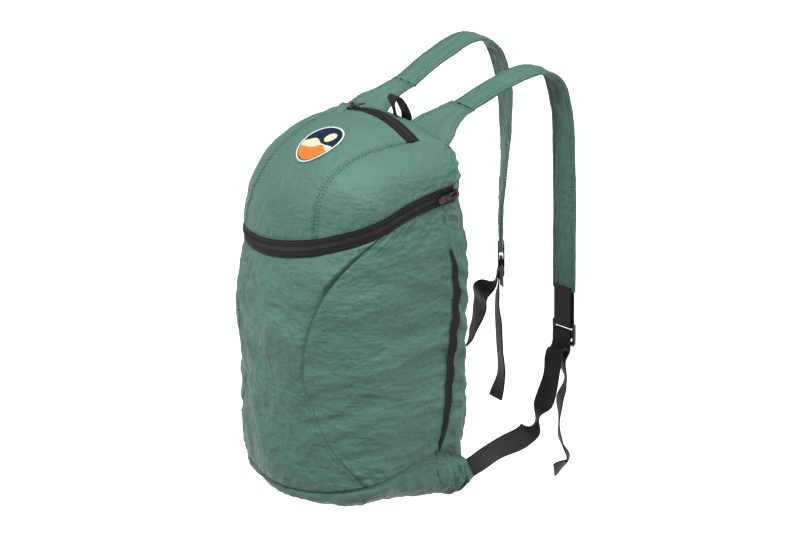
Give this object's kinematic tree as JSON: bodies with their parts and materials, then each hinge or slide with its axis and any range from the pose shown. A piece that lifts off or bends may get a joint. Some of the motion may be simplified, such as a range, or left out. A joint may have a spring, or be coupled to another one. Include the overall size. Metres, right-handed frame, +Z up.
{
  "type": "packable backpack",
  "caption": "Light ripstop daypack with a domed lid, a zip round its mouth, a short zip in the lid, a round badge, cloth shoulder straps with webbing adjusters and a haul loop.",
  "frame": {"origin": "the mount shoulder_rest: midway between the undersides of the two strap arches, where they lie on the shoulders", "axes": "+Z up, +X to the side with the slider of the main zip, -Y the curved front, +Y the shoulder straps and the wearer"},
  "size_m": [0.2451, 0.3679, 0.4822],
  "materials": {
    "ripstop": "thin crinkled nylon, soft sheen",
    "webbing": "ribbed twill webbing",
    "zip_tape": "woven tape, matt",
    "black_plastic": "moulded, slight sheen",
    "dark_metal": "dark bronze lacquer",
    "badge": "printed twill patch with a pale border"
  },
  "bodies": {
    "pack": {"front_panel": "ripstop", "side_panel_right": "ripstop", "side_panel_left": "ripstop", "side_gusset_right": "ripstop", "side_gusset_left": "ripstop", "back_panel": "ripstop", "bottom_panel": "ripstop", "lid_panel": "ripstop", "lid_gore_right": "ripstop", "lid_gore_left": "ripstop", "yoke": "ripstop", "shoulder_wing_right": "ripstop", "shoulder_wing_left": "ripstop", "shoulder_strap_right": "ripstop", "shoulder_strap_left": "ripstop", "corner_tab_right": "ripstop", "corner_tab_left": "ripstop", "haul_loop": "webbing", "strap_anchor_right": "webbing", "strap_anchor_left": "webbing", "lower_strap_right": "webbing", "lower_strap_left": "webbing", "main_zip_tape": "zip_tape", "top_zip_tape": "zip_tape", "side_tape_right": "zip_tape", "side_tape_left": "zip_tape", "main_zip_coil": "black_plastic", "top_zip_coil": "black_plastic", "ladder_lock_right": "black_plastic", "ladder_lock_left": "black_plastic", "main_zip_slider": "dark_metal", "top_zip_slider": "dark_metal", "badge": "badge"},
    "main_zip_pull": {"main_zip_tab": "dark_metal"},
    "top_zip_pull": {"top_zip_tab": "dark_metal"}
  },
  "joints": [
    {"name": "main_zip_pull_hinge", "type": "hinge", "parent": "pack", "child": "main_zip_pull", "pos_m": [0.12038, -0.14762, -0.09422], "axis": [0, -0.1666, 0.986], "range_deg": [0, 165]},
    {"name": "top_zip_pull_hinge", "type": "hinge", "parent": "pack", "child": "top_zip_pull", "pos_m": [-0.047, -0.15894, -0.03998], "axis": [0, -1, 0], "range_deg": [0, 165]}
  ]
}
